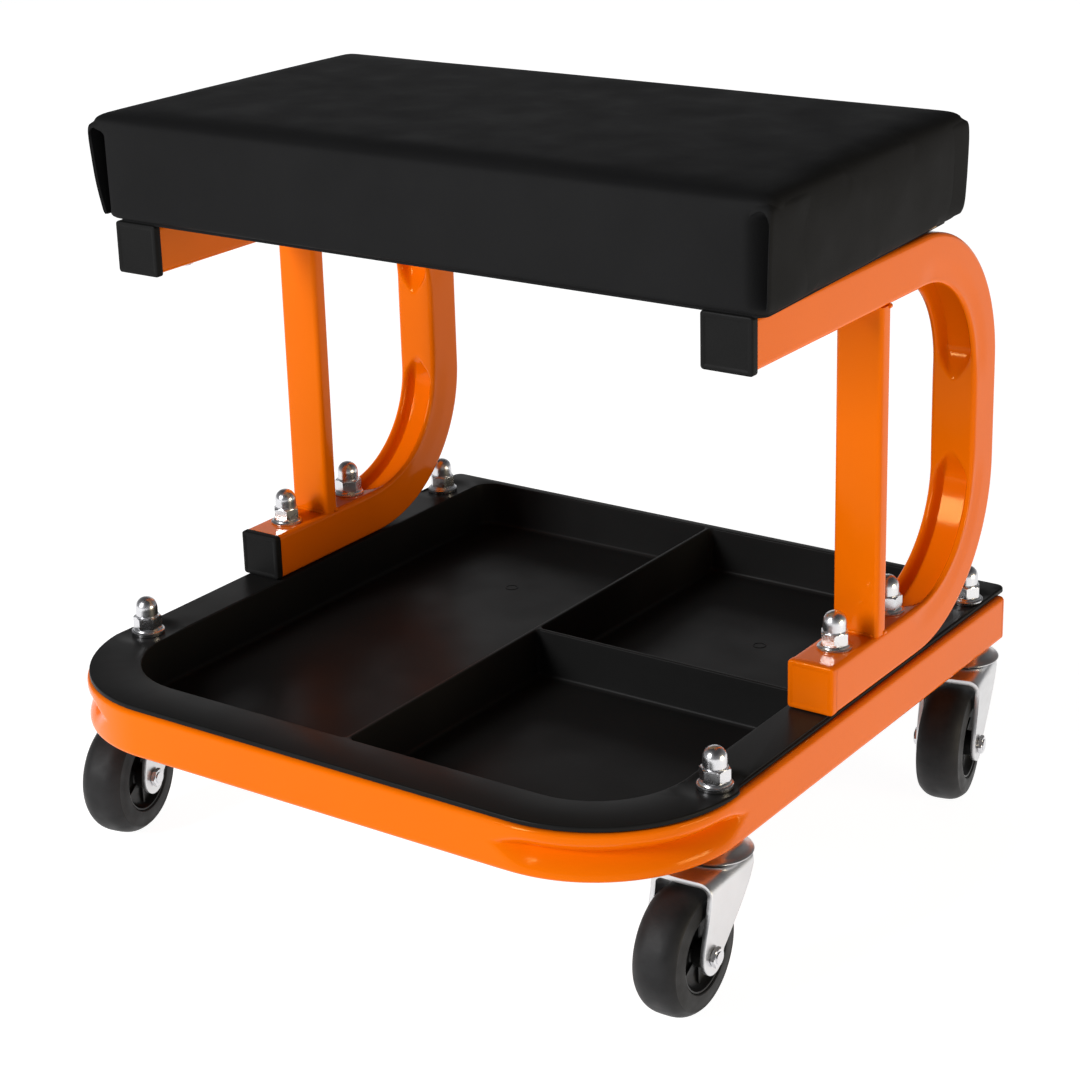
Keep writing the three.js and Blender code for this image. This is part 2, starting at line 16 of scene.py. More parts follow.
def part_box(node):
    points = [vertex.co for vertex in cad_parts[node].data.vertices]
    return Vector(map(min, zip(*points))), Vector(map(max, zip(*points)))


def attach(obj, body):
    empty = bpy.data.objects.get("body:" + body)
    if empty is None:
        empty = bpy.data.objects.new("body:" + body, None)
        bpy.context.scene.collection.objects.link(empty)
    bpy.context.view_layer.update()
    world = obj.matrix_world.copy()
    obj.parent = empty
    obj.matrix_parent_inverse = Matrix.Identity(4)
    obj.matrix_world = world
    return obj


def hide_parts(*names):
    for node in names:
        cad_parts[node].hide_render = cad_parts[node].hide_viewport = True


MM = 0.001
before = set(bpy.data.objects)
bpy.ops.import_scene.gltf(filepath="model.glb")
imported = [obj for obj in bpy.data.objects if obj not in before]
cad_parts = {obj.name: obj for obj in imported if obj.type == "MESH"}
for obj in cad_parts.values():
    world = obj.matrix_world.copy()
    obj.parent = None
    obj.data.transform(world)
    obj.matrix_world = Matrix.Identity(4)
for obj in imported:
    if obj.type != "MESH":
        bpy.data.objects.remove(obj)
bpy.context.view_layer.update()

SIDES = {"left": -1, "right": 1}
ENDS = ("front", "rear")


def box_mm(node):
    low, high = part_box(node)
    return np.array(low) / MM, np.array(high) / MM


# Sizes shared by several pieces, read from the frame where a node gives them.
TUBE, WALL, CORNER = 25.0, 1.5, 2.5
base_low, base_high = box_mm("base_frame")
FRONT, RAIL_END = base_low[1], base_high[1]
BASE_BOTTOM, BASE_TOP = base_low[2], base_low[2] + TUBE
RAIL_X = base_high[0] - TUBE / 2
BASE_BEND = 62.5
tray_low, tray_high = box_mm("tool_tray")
RIM_TOP, TRAY_BOTTOM, TRAY_BACK = tray_high[2], tray_low[2], tray_high[1]
SIDE_X = 174.0
side_low, side_high = box_mm("side_frame_right")
SIDE_BOTTOM, SIDE_TOP, SIDE_BACK = side_low[2], side_high[2], side_high[1]
SIDE_BEND = 69.5
seat_low, seat_high = box_mm("seat_cushion")
board_low, board_high = box_mm("seat_board")
STEM_X = 175.0
STEM_YS = {"front": FRONT + 77.7, "rear": FRONT + 338.6}
TRAIL = 30.0  # from the stem to the axle, level
WHEEL_R = 31.25
AXLE_Z = 31.25
# How far each caster is turned at rest, in degrees.
SWIVEL = {"front_left": 12, "front_right": 2, "rear_left": 6, "rear_right": 12}


# ---- materials


class Nodes:
    """A material with a Principled shader and a few helpers to grow its node tree."""

    def __init__(self, name, **sockets):
        self.material = bpy.data.materials.new(name)
        self.material.use_nodes = True
        self.tree = self.material.node_tree
        self.shader = next(n for n in self.tree.nodes if n.type == "BSDF_PRINCIPLED")
        self.coords = self.tree.nodes.new("ShaderNodeTexCoord").outputs["Object"]
        for socket, value in sockets.items():
            self.shader.inputs[socket.replace("_", " ")].default_value = value

    def link(self, source, target):
        self.tree.links.new(source, target)

    def texture(self, kind, scale, stretch=(1, 1, 1)):
        mapping = self.tree.nodes.new("ShaderNodeMapping")
        mapping.inputs["Scale"].default_value = stretch
        self.link(self.coords, mapping.inputs["Vector"])
        node = self.tree.nodes.new(kind)
        node.inputs["Scale"].default_value = scale
        self.link(mapping.outputs["Vector"], node.inputs["Vector"])
        return node

    def noise(self, scale, detail=3.0, roughness=0.5, stretch=(1, 1, 1)):
        node = self.texture("ShaderNodeTexNoise", scale, stretch)
        node.inputs["Detail"].default_value = detail
        node.inputs["Roughness"].default_value = roughness
        return node.outputs["Fac"]

    def cells(self, scale):
        """How far a point is from the edge of its cell."""
        node = self.texture("ShaderNodeTexVoronoi", scale)
        node.feature = "DISTANCE_TO_EDGE"
        return node.outputs["Distance"]

    def ramp(self, fac, stops):
        node = self.tree.nodes.new("ShaderNodeValToRGB")
        self.link(fac, node.inputs["Fac"])
        elements = node.color_ramp.elements
        while len(elements) < len(stops):
            elements.new(0.5)
        for element, (place, color) in zip(elements, stops):
            element.position = place
            element.color = (*color, 1)
        return node.outputs["Color"]

    def spread(self, fac, low, high):
        """The middle of a noise's range, 0.3 to 0.7, spread from low to high."""
        node = self.tree.nodes.new("ShaderNodeMapRange")
        self.link(fac, node.inputs["Value"])
        node.inputs["From Min"].default_value = 0.3
        node.inputs["From Max"].default_value = 0.7
        node.inputs["To Min"].default_value = low
        node.inputs["To Max"].default_value = high
        return node.outputs["Result"]

    def bump(self, height, distance, strength, before=None):
        node = self.tree.nodes.new("ShaderNodeBump")
        node.inputs["Strength"].default_value = strength
        node.inputs["Distance"].default_value = distance
        self.link(height, node.inputs["Height"])
        if before is not None:
            self.link(before, node.inputs["Normal"])
        return node.outputs["Normal"]

    def finish(self, color=None, roughness=None, normal=None):
        for source, socket in ((color, "Base Color"), (roughness, "Roughness"), (normal, "Normal")):
            if source is not None:
                self.link(source, self.shader.inputs[socket])
        return self.material


def powder_paint():
    m = Nodes("orange_powder_coat", IOR=1.19, Specular_IOR_Level=1.0, Specular_Tint=(1.0, 0.66, 0.22, 1))
    broad = m.noise(9, 2)
    color = m.ramp(broad, [(0.3, (0.77, 0.136, 0.0004)), (0.7, (0.81, 0.148, 0.0008))])
    rough = m.spread(m.noise(60, 4), 0.09, 0.15)
    peel = m.bump(m.noise(520, 2, 0.4), 0.00006, 0.5)
    return m.finish(color, rough, m.bump(m.noise(70, 2, 0.4), 0.00018, 0.35, peel))


def vinyl():
    m = Nodes("black_vinyl", IOR=1.13, Specular_IOR_Level=0.35)
    color = m.ramp(m.noise(14, 3), [(0.3, (0.0110, 0.0110, 0.0113)), (0.75, (0.0135, 0.0135, 0.0139))])
    rough = m.spread(m.noise(35, 4), 0.56, 0.66)
    grain = m.bump(m.cells(620), 0.00010, 0.45)
    fine = m.bump(m.noise(1500, 2, 0.6), 0.00004, 0.5, grain)
    return m.finish(color, rough, m.bump(m.noise(6, 2, 0.3, (1, 1, 2.2)), 0.0005, 0.10, fine))


def moulded(name, dark, light, rough_low, rough_high, grain=900, depth=0.00005, swell=0.0, shine=0.3):
    m = Nodes(name, Specular_IOR_Level=shine)
    color = m.ramp(m.noise(11, 3), [(0.3, (dark,) * 3), (0.7, (light,) * 3)])
    rough = m.spread(m.noise(28, 4), rough_low, rough_high)
    normal = m.bump(m.noise(grain, 2, 0.5), depth, 0.6)
    if swell:
        normal = m.bump(m.noise(8, 2, 0.4), swell, 0.4, normal)
    return m.finish(color, rough, normal)


def zinc(name, tint, rough_low, rough_high, brushed=(1, 1, 1)):
    m = Nodes(name, Metallic=1.0)
    color = m.ramp(m.noise(40, 4), [(0.3, tuple(c * 0.93 for c in tint)), (0.7, tint)])
    rough = m.spread(m.noise(110, 5, 0.6, brushed), rough_low, rough_high)
    return m.finish(color, rough, m.bump(m.noise(650, 3, 0.6, brushed), 0.00002, 0.5))


def rubber():
    m = Nodes("tyre_rubber", Specular_IOR_Level=0.2)
    color = m.ramp(m.noise(55, 5, 0.65), [(0.32, (0.010, 0.010, 0.0105)), (0.72, (0.021, 0.021, 0.022))])
    rough = m.spread(m.noise(120, 4), 0.46, 0.62)
    return m.finish(color, rough, m.bump(m.noise(900, 3, 0.6), 0.00008, 0.55))


def plywood():
    m = Nodes("plywood", Specular_IOR_Level=0.3)
    stripes = m.noise(26, 6, 0.6, (0.35, 7, 7))
    shades = [(0.25, (0.30, 0.185, 0.09)), (0.5, (0.42, 0.28, 0.15)), (0.8, (0.52, 0.37, 0.21))]
    color = m.ramp(stripes, shades)
    rough = m.spread(m.noise(90, 4), 0.6, 0.8)
    return m.finish(color, rough, m.bump(m.noise(60, 5, 0.7, (0.4, 9, 9)), 0.0003, 0.5))


ORANGE = powder_paint()
VINYL = vinyl()
TRAY_BLACK = moulded("tray_plastic", 0.0095, 0.0130, 0.28, 0.38, 1100, 0.00003, 0.0006, 0.05)
CAP_BLACK = moulded("cap_plastic", 0.006, 0.011, 0.42, 0.56, 700, 0.00012, shine=0.07)
HUB_BLACK = moulded("hub_plastic", 0.004, 0.006, 0.32, 0.42, shine=0.25)
BRIGHT_ZINC = zinc("bright_zinc", (0.74, 0.74, 0.76), 0.20, 0.34)
FORK_ZINC = zinc("fork_zinc", (0.71, 0.71, 0.72), 0.28, 0.40, (1, 1, 3))
RUBBER = rubber()
PLYWOOD = plywood()


# ---- mesh helpers


def smoothstep(x, low, high):
    t = np.clip((np.asarray(x, float) - low) / (high - low), 0, 1)
    return t * t * (3 - 2 * t)


def piece(name, parts, material, body, stands_for, sharp):
    """One object from [(verts in mm, faces), ...]; it rides on body and stands for the named CAD nodes.

    Edges that turn more than sharp degrees are shaded sharp.
    """
    verts, faces = [], []
    for part_verts, part_faces in parts:
        start = len(verts)
        verts.extend(np.asarray(part_verts, float) * MM)
        faces.extend([tuple(int(i) + start for i in f) for f in part_faces])
    mesh = bpy.data.meshes.new(name)
    mesh.from_pydata([tuple(v) for v in verts], [], faces)
    bm = bmesh.new()
    bm.from_mesh(mesh)
    bmesh.ops.remove_doubles(bm, verts=bm.verts, dist=1e-6)
    bmesh.ops.recalc_face_normals(bm, faces=bm.faces)
    bm.to_mesh(mesh)
    bm.free()
    mesh.shade_smooth()
    mesh.set_sharp_from_angle(angle=math.radians(sharp))
    obj = bpy.data.objects.new(name, mesh)
    bpy.context.scene.collection.objects.link(obj)
    mesh.materials.append(material)
    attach(obj, body)
    if stands_for:
        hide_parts(*stands_for)
    return obj


def loft(rings, start_cap=True, end_cap=True):
    """Quads between rings of the same number of points, with flat caps."""
    count = len(rings[0])
    verts = np.concatenate([np.asarray(r, float) for r in rings])
    faces = []
    for k in range(len(rings) - 1):
        for i in range(count):
            j = (i + 1) % count
            faces.append((k * count + i, k * count + j, (k + 1) * count + j, (k + 1) * count + i))
    if start_cap:
        faces.append(tuple(range(count))[::-1])
    if end_cap:
        faces.append(tuple(range((len(rings) - 1) * count, len(rings) * count)))
    return verts, faces


def lathe(profile, sides):
    """A closed (radius, z) profile turned about Z; radius 0 points become poles."""
    verts, faces, rows = [], [], []
    for r, z in profile:
        if r < 1e-6:
            rows.append([len(verts)])
            verts.append((0, 0, z))
        else:
            rows.append(list(range(len(verts), len(verts) + sides)))
            angles = np.arange(sides) * 2 * math.pi / sides
            verts.extend(zip(r * np.cos(angles), r * np.sin(angles), [z] * sides))
    for low, high in zip(rows, rows[1:] + (rows[:1] if profile[0][0] > 1e-6 else [])):
        for i in range(sides):
            j = (i + 1) % sides
            quad = [low[i % len(low)], low[j % len(low)], high[j % len(high)], high[i % len(high)]]
            quad = list(dict.fromkeys(quad))
            if len(quad) > 2:
                faces.append(tuple(quad))
    return np.array(verts, float), faces


def moved(part, matrix=None, offset=(0, 0, 0)):
    verts = np.asarray(part[0], float)
    if matrix is not None:
        verts = verts @ np.array(matrix, float)[:3, :3].T
    return verts + np.array(offset, float), part[1]


def arc(x, y, radius, start, end, steps):
    angles = np.radians(np.linspace(start, end, steps + 1))
    return [(x + radius * math.cos(a), y + radius * math.sin(a)) for a in angles]


def rounded(x0, y0, x1, y1, radii, steps=8):
    """Outline of a rectangle; the radii run from the +x +y corner, anticlockwise."""
    a, b, c, d = [max(r, 0.05) for r in radii]
    return np.array(
        arc(x1 - a, y1 - a, a, 0, 90, steps)
        + arc(x0 + b, y1 - b, b, 90, 180, steps)
        + arc(x0 + c, y0 + c, c, 180, 270, steps)
        + arc(x1 - d, y0 + d, d, 270, 360, steps)
    )


def at_height(outline, z):
    outline = np.asarray(outline, float)
    return np.column_stack([outline, np.full(len(outline), float(z))])


# ---- bent square tube


def bend_path(start, heading, pieces):
    """Stations (a, b, angle) along straights and quarter bends, and the bends themselves.

    A piece is (kind, size, steps); a bend may add the shares of its turn that its pressed wall runs between.
    A bend comes out as (centre, radius, start angle, first share, last share).
    """
    a, b = start
    angle = heading
    stations, bends = [(a, b, angle)], []
    for kind, size, steps, *span in pieces:
        if kind == "straight":
            for _ in range(steps):
                a += size / steps * math.cos(angle)
                b += size / steps * math.sin(angle)
                stations.append((a, b, angle))
            continue
        centre = np.array([a - size * math.sin(angle), b + size * math.cos(angle)])
        bends.append((centre, size, angle - math.pi / 2, *(span or (0, 1))))
        for _ in range(steps):
            angle += math.pi / 2 / steps
            a = centre[0] + size * math.sin(angle)
            b = centre[1] - size * math.cos(angle)
            stations.append((a, b, angle))
    return stations, bends


def tube_section(size, corner, strips, steps=5):
    """Section points (p, q): p points away from the bends' centres, and q across the plane of the bends."""
    half = size / 2
    corners = rounded(-half, -half, half, half, [corner] * 4, steps)
    per = steps + 1
    points = []
    for k in range(4):
        block = corners[k * per : (k + 1) * per]
        points.extend(block)
        after = corners[((k + 1) * per) % len(corners)]
        for i in range(1, strips):
            points.append(block[-1] + (after - block[-1]) * i / strips)
    return np.array(points)


def channel(u, width):
    """A flat-bottomed channel with narrow lips; u runs from -1 to 1 across the wall."""
    return 1 - smoothstep(np.abs(u) / width, 0.50, 0.80)


def crease(u, width):
    """A V crease near the middle of the wall, between two rounded lobes."""
    above = (u - 0.08) / (0.58 * width)
    below = (0.08 - u) / (0.86 * width)
    return 1 - np.sin(np.clip(np.maximum(above, below), 0, 1) * math.pi / 2)


def pressed(a, b, q, bends, side, depth, shape):
    """Moves section points in the (a, b) plane where a bend's wall is pressed; side 1 is the outer wall."""
    half = TUBE / 2
    wide = np.zeros_like(q)
    for centre, radius, start, first, last in bends:
        out_a, out_b = a - centre[0], b - centre[1]
        reach = np.hypot(out_a, out_b)
        height = (reach - radius) * side
        sa, sb = math.cos(start), math.sin(start)
        along = np.arctan2(sa * out_b - sb * out_a, sa * out_a + sb * out_b) / (math.pi / 2)
        ends = smoothstep(along, first - 0.10, first + 0.09)
        ends *= 1 - smoothstep(along, last - 0.09, last + 0.10)
        near = (along > -0.3) & (along < 1.3)
        bowl = shape(q / half, np.maximum(ends, 0.02) ** 0.6)
        on_wall = (height > half - 0.7) & near
        move = np.where(on_wall, -side * depth * ends * bowl, 0)
        a = a + out_a / reach * move
        b = b + out_b / reach * move
        # The side walls draw in a little behind the pressed wall.
        pull = smoothstep(height, -2, half - 3) * (1 - smoothstep(height, half - 3, half))
        wide = np.where(near, wide - 0.55 * ends * pull * (np.abs(q) > half - 0.6), wide)
    return a, b, q + np.sign(q) * wide


def bent_tube(start, heading, pieces, place, side, depth, shape):
    stations, bends = bend_path(start, heading, pieces)
    section = tube_section(TUBE, CORNER, 22)
    rings = []
    for a, b, angle in stations:
        out = np.array([math.sin(angle), -math.cos(angle)])
        pa = a + section[:, 0] * out[0]
        pb = b + section[:, 0] * out[1]
        pa, pb, q = pressed(pa, pb, section[:, 1], bends, side, depth, shape)
        rings.append(place(pa, pb, q))
    bore = tube_section(TUBE - 2 * WALL, 1.2, 22)

    def bore_ring(station, back):
        a, b, angle = station
        a, b = a + back * math.cos(angle), b + back * math.sin(angle)
        return place(a + bore[:, 0] * math.sin(angle), b - bore[:, 0] * math.cos(angle), bore[:, 1])

    rings = [bore_ring(stations[0], 16), bore_ring(stations[0], 0)] + rings
    rings += [bore_ring(stations[-1], 0), bore_ring(stations[-1], -16)]
    return loft(rings)


def two_bends(straights, run, radius, turn_steps, first_span=()):
    """Pieces of a tube with two equal bends, beside which the straights have a run of short steps."""
    (first, a), (middle, b), (last, c) = straights
    short = ("straight", run, 8)
    pieces = [("straight", first - run, a), short, ("bend", radius, turn_steps, *first_span), short]
    pieces += [("straight", middle - 2 * run, b), short, ("bend", radius, turn_steps), short]
    return [*pieces, ("straight", last - run, c)]


def build_base():
    centre_z = BASE_BOTTOM + TUBE / 2
    front = FRONT + TUBE / 2
    rail = RAIL_END - front - BASE_BEND
    across = 2 * (RAIL_X - BASE_BEND)

    def place(a, b, q):
        return np.column_stack([a, b, centre_z + q])

    pieces = two_bends([(rail, 8), (across, 6), (rail, 8)], 14, BASE_BEND, 44, (0, 0.72))
    tube = bent_tube((-RAIL_X, RAIL_END), -math.pi / 2, pieces, place, 1, 6.5, crease)
    piece("base_tube", [tube], ORANGE, "chassis", ["base_frame"], 50)


def build_side_frames():
    for side, sign in SIDES.items():
        foot_start = FRONT + 172.3
        back = SIDE_BACK - TUBE / 2
        bottom = SIDE_BOTTOM + TUBE / 2
        top = SIDE_TOP - TUBE / 2
        foot, arm = back - SIDE_BEND - foot_start, back - SIDE_BEND - side_low[1]
        upright = top - bottom - 2 * SIDE_BEND
        pieces = two_bends([(foot, 8), (upright, 4), (arm, 10)], 12, SIDE_BEND, 40)

        def place(a, b, q, sign=sign):
            return np.column_stack([sign * SIDE_X + q, a, b])

        tube = bent_tube((foot_start, bottom), 0, pieces, place, -1, 7, channel)
        piece("side_tube_" + side, [tube], ORANGE, "chassis", ["side_frame_" + side], 50)


def rod(points, radii, sides=10):
    """A closed round rod through the points, with a radius at each."""
    points = np.asarray(points, float)
    rings = []
    for i, point in enumerate(points):
        ahead = points[min(i + 1, len(points) - 1)] - points[max(i - 1, 0)]
        ahead /= np.linalg.norm(ahead)
        helper = np.array([0, 0, 1.0]) if abs(ahead[2]) < 0.8 else np.array([1.0, 0, 0])
        u = np.cross(ahead, helper)
        u /= np.linalg.norm(u)
        v = np.cross(ahead, u)
        angles = np.arange(sides) * 2 * math.pi / sides
        rings.append(point + radii[i] * (np.outer(np.cos(angles), u) + np.outer(np.sin(angles), v)))
    return loft(rings)


def weld_bead(start, end, radius, seed):
    """A short weld with a rippled surface."""
    start, end = np.array(start, float), np.array(end, float)
    length = np.linalg.norm(end - start)
    steps = max(8, int(length * 2.2))
    t = np.linspace(0, 1, steps + 1)
    ripple = 0.5 + 0.5 * np.abs(np.sin(t * length * 1.35 + seed))
    shape = np.sqrt(np.clip(1 - (2 * t - 1) ** 6, 0.02, 1))
    return rod(start + np.outer(t, end - start), radius * shape * (0.78 + 0.22 * ripple))


def build_posts():
    for side in SIDES:
        low, high = box_mm("post_" + side)
        outline = rounded(low[0], low[1], high[0], high[1], [2.6] * 4, 6)
        foot, top = low[2] - 0.5, high[2] + 0.5
        post = loft([at_height(outline, z) for z in np.linspace(foot, top, 12)])
        parts = [post]
        for k, z in enumerate((low[2] + 0.1, high[2] - 0.1)):
            for y in (low[1] + 0.2, high[1] - 0.2):
                parts.append(weld_bead((low[0] + 2.2, y, z), (high[0] - 2.2, y, z), 1.15, 3 * k + y))
            for x in (low[0] + 0.5, high[0] - 0.5):
                parts.append(weld_bead((x, high[1] - 3.6, z), (x, high[1] - 0.2, z), 1.3, x))
        piece("post_tube_" + side, parts, ORANGE, "chassis", ["post_" + side], 50)


def plug(size, depth, corner, rim=0.9):
    """A plug's plate facing -Y from y = 0 back to y = depth, with a soft edge and a faint sunken panel."""
    half = size / 2
    steps = 5
    profile = [(3.2, 0.35), (2.6, 0.35), (2.1, 0.0), (rim, 0.0)]
    profile += [(rim * 0.45, rim * 0.18), (rim * 0.15, rim * 0.5), (0, rim), (0, depth)]
    rings = []
    for inset, y in profile:
        edge = half - inset
        ring = rounded(-edge, -edge, edge, edge, [max(corner - inset, 0.4)] * 4, steps)
        rings.append(np.column_stack([ring[:, 0], np.full(len(ring), y), ring[:, 1]]))
    return loft(rings)


def build_plugs():
    for side, sign in SIDES.items():
        for place, size in (("foot", TUBE), ("arm", TUBE + 2)):
            node = f"{place}_end_cap_{side}"
            low, high = box_mm(node)
            centre_z = (low[2] + high[2]) / 2
            orange = place == "foot" and side == "right"
            part = moved(plug(size, 4.0, 1.8), offset=(sign * SIDE_X, low[1], centre_z))
            piece("plug_" + node, [part], ORANGE if orange else CAP_BLACK, "chassis",
                  [node], 40)
        node = "rail_end_cap_" + side
        low, high = box_mm(node)
        turn = Matrix.Rotation(math.pi, 3, "Z")
        part = moved(plug(TUBE, 2.0, CORNER, 0.7), turn, (sign * RAIL_X, high[1], BASE_BOTTOM + TUBE / 2))
        piece("plug_" + node, [part], ORANGE, "chassis", [node], 40)


# ---- tray

BIN_HALF, BIN_CORNER, BIN_BACK_CORNER, DIVIDER = 160.2, 47.0, 12.0, 2.4
BIN_FRONT, BIN_BACK, CROSS_Y = FRONT + 28, FRONT + 362, FRONT + 187
BIN_DEPTH, MARK_Y = 25.6, FRONT + 279


def rim_outline(inset=0.0, steps=20):
    pad_x = RAIL_X + TUBE / 2 - 0.4 - inset
    side_x = pad_x - 3
    front, back = FRONT + 1.4 + inset, TRAY_BACK - inset
    radius = 75 - inset
    back_corner = max(5 - inset, 0.5)
    step = [(pad_x - 1.5 * (1 - math.cos(math.pi * t)), FRONT + 77.5 + 7 * t) for t in np.linspace(0, 1, 7)]
    right = arc(pad_x - radius, front + radius, radius, -90, 0, steps) + step
    right += arc(side_x - back_corner, back - back_corner, back_corner, 0, 90, 5)
    left = [(-x, y) for x, y in reversed(right)]
    return np.array(right + left)


def bin_outline(bounds, radii, inset):
    x0, y0, x1, y1 = bounds
    return rounded(x0 + inset, y0 + inset, x1 - inset, y1 - inset, [r - inset for r in radii], 10)


def inside(point, polygon):
    x, y = point
    px, py = polygon[:, 0], polygon[:, 1]
    qx, qy = np.roll(px, -1), np.roll(py, -1)
    crosses = ((py > y) != (qy > y)) & (x < (qx - px) * (y - py) / (qy - py + 1e-12) + px)
    return bool(crosses.sum() % 2)


def flat_with_holes(outer, holes, z, extra=(), dip=None):
    """Triangles over outer less the holes, with extra points; dip(x, y) gives how far the surface sinks."""
    loops = [outer, *holes]
    points, edges = [], []
    for loop in loops:
        start = len(points)
        points.extend(Vector(p) for p in loop)
        edges.extend((start + i, start + (i + 1) % len(loop)) for i in range(len(loop)))
    points.extend(Vector(p) for p in extra if inside(p, outer) and not any(inside(p, h) for h in holes))
    verts, _, faces, *_ = delaunay_2d_cdt(points, edges, [], 0, 1e-5)
    flat = np.array([tuple(v) for v in verts])
    kept = []
    for face in faces:
        centre = flat[list(face)].mean(0)
        if inside(centre, outer) and not any(inside(centre, h) for h in holes):
            kept.append(tuple(face))
    heights = np.full(len(flat), float(z))
    if dip is not None:
        heights -= np.array([dip(x, y) for x, y in flat])
    return np.column_stack([flat, heights]), kept


def build_tray():
    floor = RIM_TOP - BIN_DEPTH
    middle, inner = DIVIDER / 2, 3.0
    bins = [
        ((-BIN_HALF, BIN_FRONT, -middle, BIN_BACK), [inner, BIN_BACK_CORNER, BIN_CORNER, inner]),
        ((middle, BIN_FRONT, BIN_HALF, CROSS_Y - middle), [inner, inner, inner, BIN_CORNER]),
        ((middle, CROSS_Y + middle, BIN_HALF, BIN_BACK), [BIN_BACK_CORNER, inner, inner, inner]),
    ]
    nuts = [(sign * STEM_X, y) for sign in (-1, 1) for y in STEM_YS.values()]

    def dip(x, y):
        near = min(math.hypot(x - nx, y - ny) for nx, ny in nuts)
        return 1.0 * (1 - float(smoothstep(near, 8.5, 19)))

    lip = 0.7
    curve = [(lip * (1 - math.sin(t)), lip * (1 - math.cos(t))) for t in np.linspace(0, math.pi / 2, 5)]
    foot, draft, deep = 2.4, 0.9, RIM_TOP - floor
    parts, openings = [], []
    for bounds, radii in bins:
        rings = []
        for back, drop in curve:
            rings.append(at_height(bin_outline(bounds, radii, -back), RIM_TOP - drop))
        for t in np.linspace(0.15, 1, 5):
            drop = lip + (deep - foot - lip) * t
            rings.append(at_height(bin_outline(bounds, radii, draft * t), RIM_TOP - drop))
        for t in np.linspace(0, math.pi / 2, 6)[1:]:
            inset = draft + foot * (1 - math.cos(t))
            rings.append(at_height(bin_outline(bounds, radii, inset), floor + foot * (1 - math.sin(t))))
        rings.append(at_height(bin_outline(bounds, radii, draft + foot + 0.8), floor))
        openings.append(bin_outline(bounds, radii, -lip))
        for ring in rings[:3]:
            ring[:, 2] -= [dip(x, y) for x, y in ring[:, :2]]
        parts.append(loft(rings, start_cap=False, end_cap=True))
    edge = 0.9
    outer_top = rim_outline(edge)
    extra = []
    for nx, ny in nuts:
        extra.append((nx, ny))
        for radius in np.arange(2.5, 21, 2):
            angles = np.linspace(0, 2 * math.pi, max(8, int(radius * 2.2)), endpoint=False)
            extra.extend((nx + radius * math.cos(a), ny + radius * math.sin(a)) for a in angles)
    parts.append(flat_with_holes(outer_top, openings, RIM_TOP, extra, dip))
    outside_bounds = (-BIN_HALF, BIN_FRONT, BIN_HALF, BIN_BACK)
    outside_radii = [BIN_BACK_CORNER, BIN_BACK_CORNER, BIN_CORNER, BIN_CORNER]
    rim_bottom = BASE_TOP + 0.3
    rings = []
    for t in np.linspace(0, math.pi / 2, 5):
        ring = at_height(rim_outline(edge * (1 - math.sin(t))), RIM_TOP - edge * (1 - math.cos(t)))
        ring[:, 2] -= [dip(x, y) for x, y in ring[:, :2]]
        rings.append(ring)
    rings.append(at_height(rim_outline(0), rim_bottom))
    parts.append(loft(rings, False, False))
    under = bin_outline(outside_bounds, outside_radii, -2.2)
    parts.append(flat_with_holes(rim_outline(0), [under], rim_bottom))
    rings = [at_height(under, rim_bottom)]
    for t in np.linspace(0, math.pi / 2, 5):
        outline = bin_outline(outside_bounds, outside_radii, -1.4 + 2.2 * (1 - math.cos(t)))
        rings.append(at_height(outline, TRAY_BOTTOM + 2.2 * (1 - math.sin(t))))
    parts.append(loft(rings, start_cap=False, end_cap=True))
    ring = [(2.9, -0.3), (2.9, 0.10), (3.15, 0.22), (3.5, 0.22), (3.75, 0.10), (3.75, -0.3)]
    parts += [moved(lathe(ring, 28), offset=(x, MARK_Y, floor)) for x in (-82, 82)]
    piece("tray_moulding", parts, TRAY_BLACK, "chassis", ["tool_tray"], 42)


# ---- fasteners


def hex_rows(flats, rows, chamfer_top, chamfer_bottom, sides=72):
    """Rings of a hexagon at each height in rows, its corners cut by a cone at the top and bottom."""
    apothem = flats / 2
    angles = np.arange(sides) * 2 * math.pi / sides
    folded = (angles + math.pi / 6) % (math.pi / 3) - math.pi / 6
    hexagon = apothem / np.cos(folded)
    low, high = rows[0], rows[-1]
    rings = []
    for z in rows:
        limit = min(apothem * 0.985 + chamfer_top * (high - z), apothem * 0.985 + chamfer_bottom * (z - low))
        radius = np.minimum(hexagon, limit)
        rings.append(np.column_stack([radius * np.cos(angles), radius * np.sin(angles), np.full(sides, z)]))
    return rings


def domed_nut(bottom=0.0):
    """Washer, hexagon and dome; z = 0 is the CAD nut's foot and bottom is where the washer starts."""
    washer = [(0, bottom), (8.2, bottom), (8.65, bottom + 0.25), (8.7, 0.55), (8.45, 0.85)]
    washer += [(7.7, 1.15), (7.2, 2.05), (6.9, 2.25), (0, 2.25)]
    hexagon = loft(hex_rows(13, [2.1, 2.35, 2.7, 4, 6, 7.6, 8.0, 8.35, 8.7], 1.75, 3.0))
    top, dome = 19.0, 5.8
    profile = [(0, 8.0), (5.5, 8.0), (5.5, 8.9), (dome, 9.3)]
    profile += [(dome, z) for z in (11, 12.4, top - dome)]
    profile += arc(0, top - dome, dome, 0, 90, 8)[1:-1]
    profile += [(0, top)]
    return [lathe(washer, 48), hexagon, lathe(profile, 40)]


def hex_head(flats, height, shank_r, shank):
    """A hexagon head below z = 0 and a shank above it."""
    rows = [-height, -height + 0.35, -height + 0.8, -height / 2, -0.6, -0.25, 0]
    shaft = [(0, -0.5), (shank_r, -0.5), (shank_r, shank), (0, shank)]
    return [loft(hex_rows(flats, rows, 4.0, 1.75)), lathe(shaft, 24)]


